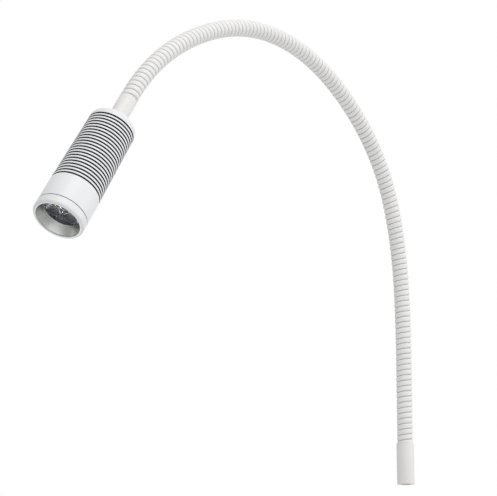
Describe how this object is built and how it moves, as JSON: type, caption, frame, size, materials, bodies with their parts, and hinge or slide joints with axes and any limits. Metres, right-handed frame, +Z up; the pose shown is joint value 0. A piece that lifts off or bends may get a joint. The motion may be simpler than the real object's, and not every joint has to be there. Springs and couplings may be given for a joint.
{
  "type": "examination lamp",
  "caption": "Gooseneck LED examination lamp: ribbed flexible neck on a threaded base sleeve carries a finned cylindrical head with a recessed multi-lobe lens.",
  "frame": {"origin": "centre of the threaded mounting socket, in the plane of the base ferrule's lower end face", "axes": "+Z up along the base ferrule, away from the stand; the neck arches over towards -X in the XZ plane and the head hangs on that side"},
  "size_m": [0.5163, 0.0456, 0.4239],
  "materials": {
    "head_white": "satin",
    "tube_white": "satin",
    "neck_white": "satin",
    "polished": "polished",
    "clear_lens": "gloss",
    "brass": "satin",
    "steel": "satin",
    "black_plastic": "satin",
    "black_rubber": "matte",
    "cable_grey": "matte",
    "circuit_green": "satin",
    "board_white": "satin",
    "terminal_white": "satin",
    "led_yellow": "gloss",
    "copper": "satin",
    "pad_grey": "matte",
    "wire_red": "satin",
    "wire_black": "satin"
  },
  "bodies": {
    "base": {"base_ferrule": "tube_white", "mount_bush": "brass", "grub_screw": "steel", "supply_connector": "black_plastic", "neck_root": "neck_white", "cable_00": "cable_grey"},
    "link_01": {"neck_link_01": "neck_white", "cable_01": "cable_grey"},
    "link_02": {"neck_link_02": "neck_white", "cable_02": "cable_grey"},
    "link_03": {"neck_link_03": "neck_white", "cable_03": "cable_grey"},
    "link_04": {"neck_link_04": "neck_white", "cable_04": "cable_grey"},
    "link_05": {"neck_link_05": "neck_white", "cable_05": "cable_grey"},
    "link_06": {"neck_link_06": "neck_white", "cable_06": "cable_grey"},
    "link_07": {"neck_link_07": "neck_white", "cable_07": "cable_grey"},
    "link_08": {"neck_link_08": "neck_white", "cable_08": "cable_grey"},
    "link_09": {"neck_link_09": "neck_white", "cable_09": "cable_grey"},
    "link_10": {"neck_link_10": "neck_white", "cable_10": "cable_grey"},
    "link_11": {"neck_link_11": "neck_white", "cable_11": "cable_grey"},
    "head": {"neck_tip": "neck_white", "head_collar": "tube_white", "head_nipple": "brass", "lock_washer": "steel", "lock_nut": "steel", "rear_cap": "head_white", "rear_seal": "black_rubber", "fin_housing": "head_white", "driver_sleeve": "black_plastic", "driver_board": "circuit_green", "driver_terminal": "terminal_white", "driver_chip": "black_plastic", "driver_inductor": "copper", "driver_capacitor": "black_plastic", "led_wire_red": "wire_red", "led_wire_black": "wire_black", "thermal_pad": "pad_grey", "led_board": "board_white", "board_screw_1": "steel", "led_1": "led_yellow", "board_screw_2": "steel", "led_2": "led_yellow", "board_screw_3": "steel", "led_3": "led_yellow", "lens_holder": "black_plastic", "triple_lens": "clear_lens", "front_gasket": "black_rubber", "reflector_ring": "polished", "bezel_ring": "head_white", "cable_12": "cable_grey"}
  },
  "joints": [
    {"name": "bend_01", "type": "hinge", "parent": "base", "child": "link_01", "pos_m": [0.00004, 0, 0.06933], "axis": [0, -1, 0], "range_deg": [-24, 12]},
    {"name": "sway_02", "type": "hinge", "parent": "link_01", "child": "link_02", "pos_m": [0.00024, 0, 0.13], "axis": [1, 0, 0.0052], "range_deg": [-20, 20]},
    {"name": "bend_03", "type": "hinge", "parent": "link_02", "child": "link_03", "pos_m": [-0.00143, 0, 0.19063], "axis": [0, -1, 0], "range_deg": [-24, 12]},
    {"name": "sway_04", "type": "hinge", "parent": "link_03", "child": "link_04", "pos_m": [-0.00928, 0, 0.25073], "axis": [0.9772, 0, 0.2121], "range_deg": [-20, 20]},
    {"name": "bend_05", "type": "hinge", "parent": "link_04", "child": "link_05", "pos_m": [-0.02921, 0, 0.30784], "axis": [0, -1, 0], "range_deg": [-24, 12]},
    {"name": "sway_06", "type": "hinge", "parent": "link_05", "child": "link_06", "pos_m": [-0.0661, 0, 0.35564], "axis": [0.6859, 0, 0.7277], "range_deg": [-20, 20]},
    {"name": "bend_07", "type": "hinge", "parent": "link_06", "child": "link_07", "pos_m": [-0.11511, 0, 0.39113], "axis": [0, -1, 0], "range_deg": [-24, 12]},
    {"name": "sway_08", "type": "hinge", "parent": "link_07", "child": "link_08", "pos_m": [-0.17183, 0, 0.41198], "axis": [0.1986, 0, 0.9801], "range_deg": [-20, 20]},
    {"name": "bend_09", "type": "hinge", "parent": "link_08", "child": "link_09", "pos_m": [-0.2322, 0, 0.4149], "axis": [0, -1, 0], "range_deg": [-24, 12]},
    {"name": "sway_10", "type": "hinge", "parent": "link_09", "child": "link_10", "pos_m": [-0.29088, 0, 0.40025], "axis": [-0.3672, 0, 0.9302], "range_deg": [-20, 20]},
    {"name": "bend_11", "type": "hinge", "parent": "link_10", "child": "link_11", "pos_m": [-0.34446, 0, 0.37205], "axis": [0, -1, 0], "range_deg": [-24, 12]},
    {"name": "sway_12", "type": "hinge", "parent": "link_11", "child": "head", "pos_m": [-0.38983, 0, 0.33205], "axis": [-0.7566, 0, 0.6539], "range_deg": [-20, 20]}
  ]
}
